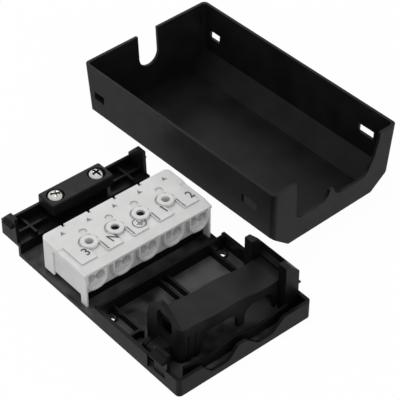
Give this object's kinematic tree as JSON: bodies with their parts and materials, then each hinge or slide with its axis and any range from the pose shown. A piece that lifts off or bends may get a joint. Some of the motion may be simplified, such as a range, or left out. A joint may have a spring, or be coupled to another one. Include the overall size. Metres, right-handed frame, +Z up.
{
  "type": "cable junction box",
  "caption": "Open black junction box: base with a push-in terminal block, screwed cord clamp and hinged cable bridge, and its clip-on cover lying beside it.",
  "frame": {"origin": "centre of the base plate's flat underside", "axes": "+X across the poles towards the cover, +Y from the two front cables towards the cord clamp, +Z up"},
  "size_m": [0.1156, 0.1201, 0.0252],
  "materials": {
    "black_base": "moulded black plastic, fine satin grain",
    "black_cover": "moulded black plastic, fine satin grain outside",
    "black_bridge": "moulded black plastic, satin",
    "black_bar": "moulded black plastic, satin",
    "white_block": "pale moulded plastic, matt, slightly translucent",
    "nickel_screw": "bright nickel plate over steel",
    "contact_brass": "tinned brass strip",
    "spring_steel": "stainless spring strip"
  },
  "bodies": {
    "base": {"base_plate": "black_base", "cover": "black_cover", "terminal_housing": "white_block", "contact_3": "contact_brass", "front_spring_3": "spring_steel", "rear_spring_3": "spring_steel", "contact_n": "contact_brass", "front_spring_n": "spring_steel", "rear_spring_n": "spring_steel", "contact_earth": "contact_brass", "front_spring_earth": "spring_steel", "rear_spring_earth": "spring_steel", "contact_1": "contact_brass", "front_spring_1": "spring_steel", "rear_spring_1": "spring_steel", "contact_2": "contact_brass", "front_spring_2": "spring_steel", "rear_spring_2": "spring_steel"},
    "bridge": {"cable_bridge": "black_bridge"},
    "clamp_bar": {"cord_clamp_bar": "black_bar"},
    "screw_left": {"clamp_screw_left": "nickel_screw"},
    "screw_right": {"clamp_screw_right": "nickel_screw"}
  },
  "joints": [
    {"name": "bridge_hinge", "type": "hinge", "parent": "base", "child": "bridge", "pos_m": [-0.0216, -0.0239, 0.0044], "axis": [0, -1, 0], "range_deg": [0, 38]},
    {"name": "clamp_lift", "type": "slide", "parent": "base", "child": "clamp_bar", "axis": [0, 0, 1], "range_m": [0, 0.004]},
    {"name": "screw_left_turn", "type": "hinge", "parent": "clamp_bar", "child": "screw_left", "pos_m": [-0.00815, 0.0431, 0.0118], "axis": [0, 0, 1], "range_deg": [0, 2880]},
    {"name": "screw_right_turn", "type": "hinge", "parent": "clamp_bar", "child": "screw_right", "pos_m": [0.00815, 0.0431, 0.0118], "axis": [0, 0, 1], "range_deg": [0, 2880]}
  ],
  "couplings": [
    {"joint": "screw_left_turn", "follows": "clamp_lift", "rad_per_m": 12566},
    {"joint": "screw_right_turn", "follows": "clamp_lift", "rad_per_m": 12566}
  ]
}
